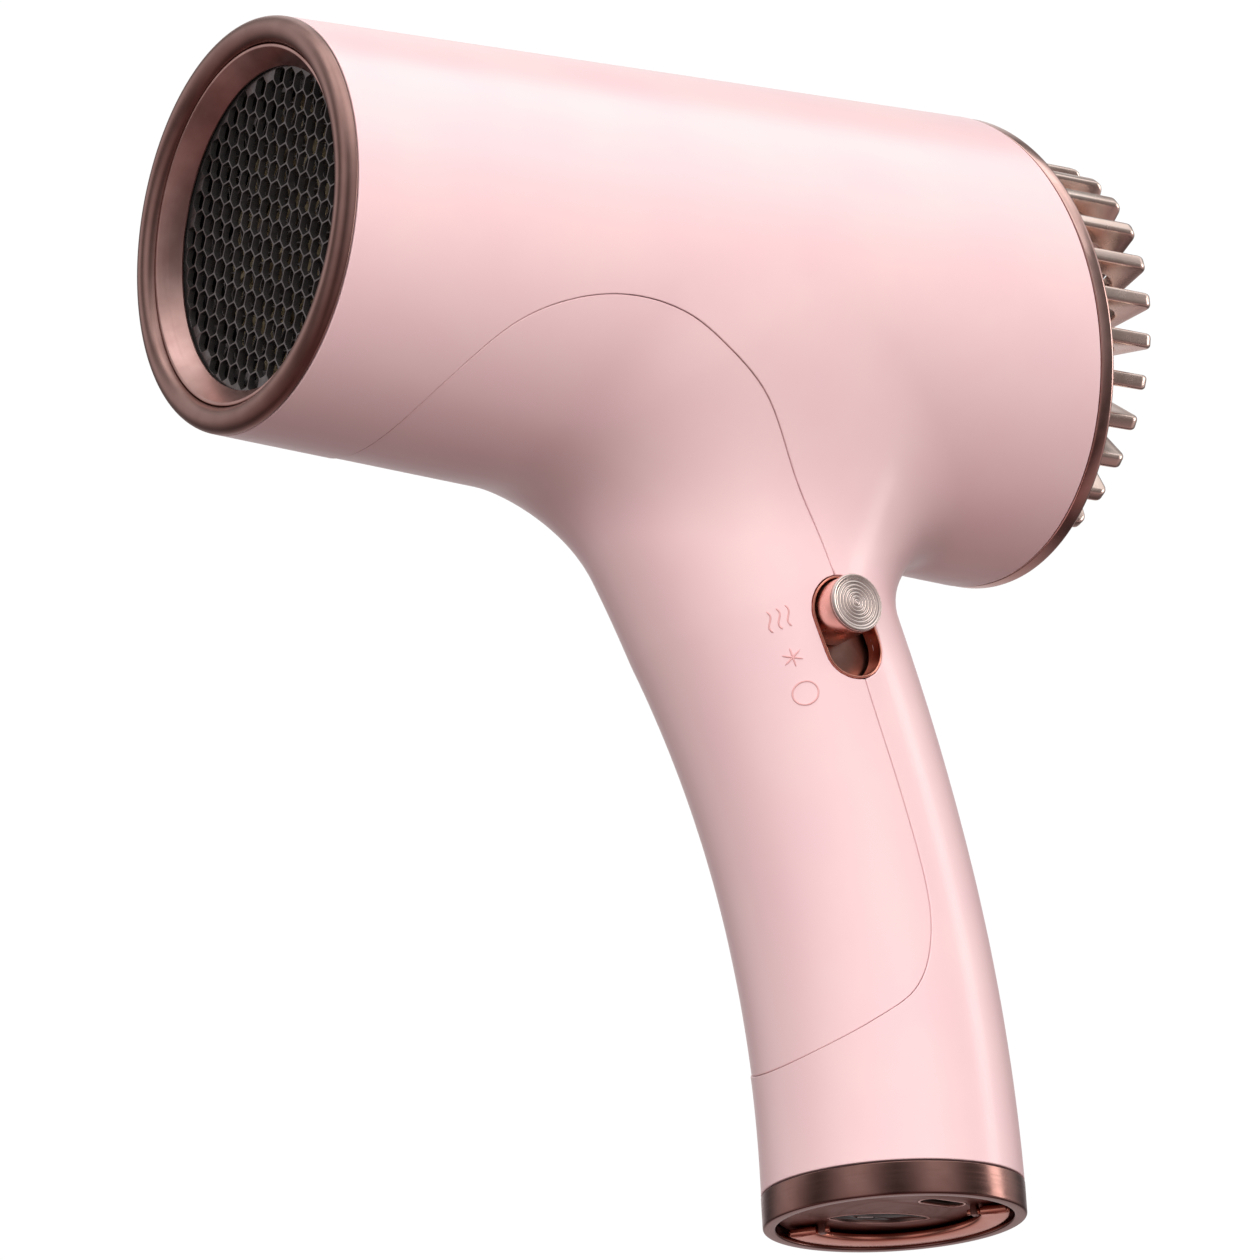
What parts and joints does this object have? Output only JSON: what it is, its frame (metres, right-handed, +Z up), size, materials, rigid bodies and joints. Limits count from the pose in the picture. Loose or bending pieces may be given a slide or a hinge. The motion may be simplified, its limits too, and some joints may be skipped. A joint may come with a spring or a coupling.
{
  "type": "travel hair dryer",
  "caption": "Cordless travel hair dryer: tapered barrel with honeycomb outlet and ribbed intake cage on a curved grip with a slide switch and a foot with a fold-out loop.",
  "frame": {"origin": "centre of the round foot's rim, on the plane the dryer stands on", "axes": "+Z up the grip, +X along the barrel towards the intake, the air leaves towards -X, -Y is the switch side"},
  "size_m": [0.1686, 0.084, 0.2057],
  "materials": {
    "pink_shell": "gloss moulded ABS",
    "bronze": "satin bronze anodised",
    "bronze_plate": "fine matt bronze",
    "black_mesh": "satin black",
    "black_plastic": "moulded",
    "mica": "pressed mica",
    "nichrome": "drawn wire",
    "dark_steel": "dark brushed",
    "white_ceramic": "glazed",
    "steel": "satin",
    "rubber": "soft",
    "rose_gold": "rose-gold plated",
    "filter_steel": "woven mesh",
    "copper": "polished copper tone",
    "button_steel": "turned face",
    "circuit_board": "solder mask",
    "cell_wrap": "shrink wrap",
    "window_gloss": "piano black",
    "led": "diffuser",
    "white_wire": "silicone sleeve",
    "red_wire": "silicone sleeve",
    "black_wire": "silicone sleeve"
  },
  "bodies": {
    "dryer": {"main_shell": "pink_shell", "handle_cover": "pink_shell", "outlet_ring": "bronze", "outlet_mesh": "black_mesh", "air_duct": "black_plastic", "heater_sleeve": "mica", "mica_board_a": "mica", "mica_board_b": "mica", "heating_coil": "nichrome", "thermostat": "dark_steel", "thermal_fuse": "white_ceramic", "stator": "black_plastic", "motor": "steel", "motor_sleeve": "rubber", "motor_bushing": "dark_steel", "motor_screw_1": "steel", "motor_screw_2": "steel", "rear_trim_ring": "rose_gold", "rear_grille": "rose_gold", "inlet_filter": "filter_steel", "switch_liner": "copper", "slide_switch": "black_plastic", "control_board": "circuit_board", "battery_cell_1": "cell_wrap", "battery_cell_2": "cell_wrap", "battery_holder": "black_plastic", "cell_link": "steel", "charging_board": "circuit_board", "usb_socket": "steel", "base_band": "bronze", "base_plate": "bronze_plate", "display_window": "window_gloss", "status_led": "led", "heater_lead": "white_wire", "motor_lead": "red_wire", "battery_lead_1": "red_wire", "battery_lead_2": "black_wire"},
    "switch_slider": {"slide_button": "button_steel", "slide_shutter": "dark_steel"},
    "loop": {"hanging_loop": "copper"},
    "fan": {"fan_rotor": "black_plastic"}
  },
  "joints": [
    {"name": "switch_slide", "type": "slide", "parent": "dryer", "child": "switch_slider", "axis": [0.3709, 0, -0.9287], "range_m": [0, 0.0064]},
    {"name": "loop_fold", "type": "hinge", "parent": "dryer", "child": "loop", "pos_m": [0.00184, 0.00154, 0.00095], "axis": [-0.6428, 0.766, 0], "range_deg": [0, 95]},
    {"name": "fan_spin", "type": "hinge", "parent": "dryer", "child": "fan", "pos_m": [0, 0, 0.164], "axis": [1, 0, 0], "continuous": true}
  ]
}
